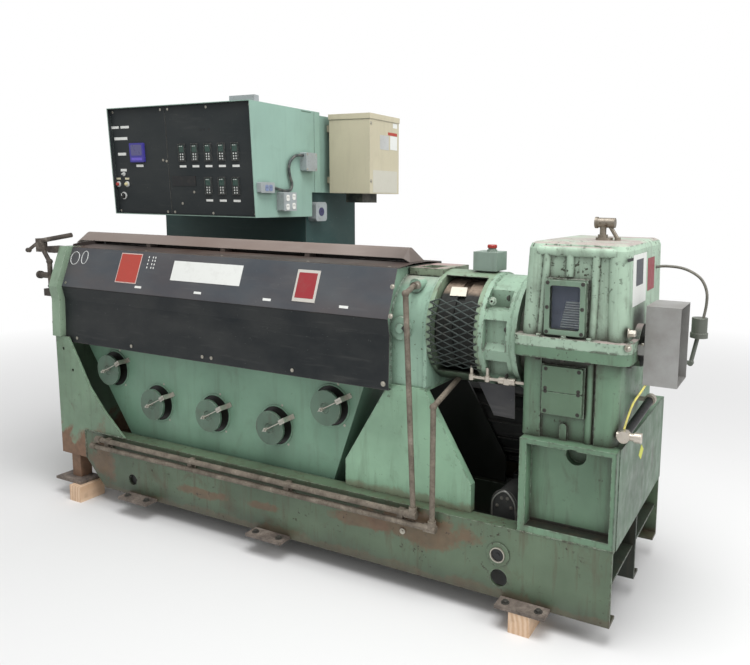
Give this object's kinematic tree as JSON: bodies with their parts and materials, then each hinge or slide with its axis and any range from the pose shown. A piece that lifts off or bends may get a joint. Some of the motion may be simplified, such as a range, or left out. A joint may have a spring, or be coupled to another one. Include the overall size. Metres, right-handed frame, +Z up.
{
  "type": "plastic extruder",
  "caption": "Single-screw plastic extruder on a steel base with a covered barrel, gearbox, feed throat and operator console.",
  "frame": {"origin": "centre of the bounding box at floor level", "axes": "+X along the barrel towards the gearbox, +Y from the operator front to the back, +Z up"},
  "size_m": [3.572, 1.553, 2.235],
  "materials": {
    "front_rail": "worn paint",
    "middle_rail": "worn paint",
    "rear_rail": "worn paint",
    "end_frame": "worn paint with rust",
    "base_shelf": "worn paint",
    "gearbox_pedestal": "worn paint",
    "levelling_pads": "rusty steel",
    "timber_blocks": "sawn softwood",
    "feed_support": "worn paint",
    "cooling_box": "worn paint",
    "damper_discs": "plated steel",
    "damper_rods": "plated steel",
    "lower_panels": "dirty dark paint",
    "upper_panels": "dirty dark paint",
    "cover_roof": "dirty dark paint",
    "ridge_cap": "heat stained paint",
    "discharge_end_plate": "worn paint",
    "barrel": "oiled steel",
    "swing_clamp": "rusty steel",
    "feed_housing": "worn paint",
    "throat_plate": "rusty steel",
    "shaft_housing": "worn paint",
    "drive_coupling": "rusty casting",
    "mesh_guard": "painted expanded metal",
    "thrust_housing": "worn paint",
    "drip_plate": "stained sheet",
    "gearbox_lower": "worn paint",
    "gearbox_upper": "worn paint",
    "gearbox_covers": "worn paint",
    "window_frame": "dull frame",
    "window_glass": "oily glass",
    "breather": "plated steel",
    "shaft_guard": "bare sheet",
    "speed_sensor": "grey and black paint",
    "stop_box": "painted case",
    "header_pipes": "rusty brown pipe",
    "riser_pipes": "rusty brown pipe",
    "oil_pipes": "tube",
    "motor_and_pump": "black paint",
    "console_cabinet": "dark paint",
    "console_housing": "worn paint",
    "console_panels": "dark paint",
    "starter_box": "beige paint",
    "outlet_boxes": "galvanised",
    "cables": "cable sheath"
  },
  "bodies": {
    "root": {"front_rail": "front_rail", "middle_rail": "middle_rail", "rear_rail": "rear_rail", "end_frame": "end_frame", "base_shelf": "base_shelf", "gearbox_pedestal": "gearbox_pedestal", "levelling_pads": "levelling_pads", "timber_blocks": "timber_blocks", "feed_support": "feed_support", "cooling_box": "cooling_box", "damper_discs": "damper_discs", "damper_rods": "damper_rods", "lower_panels": "lower_panels", "upper_panels": "upper_panels", "cover_roof": "cover_roof", "ridge_cap": "ridge_cap", "discharge_end_plate": "discharge_end_plate", "barrel": "barrel", "swing_clamp": "swing_clamp", "feed_housing": "feed_housing", "throat_plate": "throat_plate", "shaft_housing": "shaft_housing", "drive_coupling": "drive_coupling", "mesh_guard": "mesh_guard", "thrust_housing": "thrust_housing", "drip_plate": "drip_plate", "gearbox_lower": "gearbox_lower", "gearbox_upper": "gearbox_upper", "gearbox_covers": "gearbox_covers", "window_frame": "window_frame", "window_glass": "window_glass", "breather": "breather", "shaft_guard": "shaft_guard", "speed_sensor": "speed_sensor", "stop_box": "stop_box", "header_pipes": "header_pipes", "riser_pipes": "riser_pipes", "oil_pipes": "oil_pipes", "motor_and_pump": "motor_and_pump", "console_cabinet": "console_cabinet", "console_housing": "console_housing", "console_panels": "console_panels", "starter_box": "starter_box", "outlet_boxes": "outlet_boxes", "cables": "cables"}
  },
  "joints": []
}
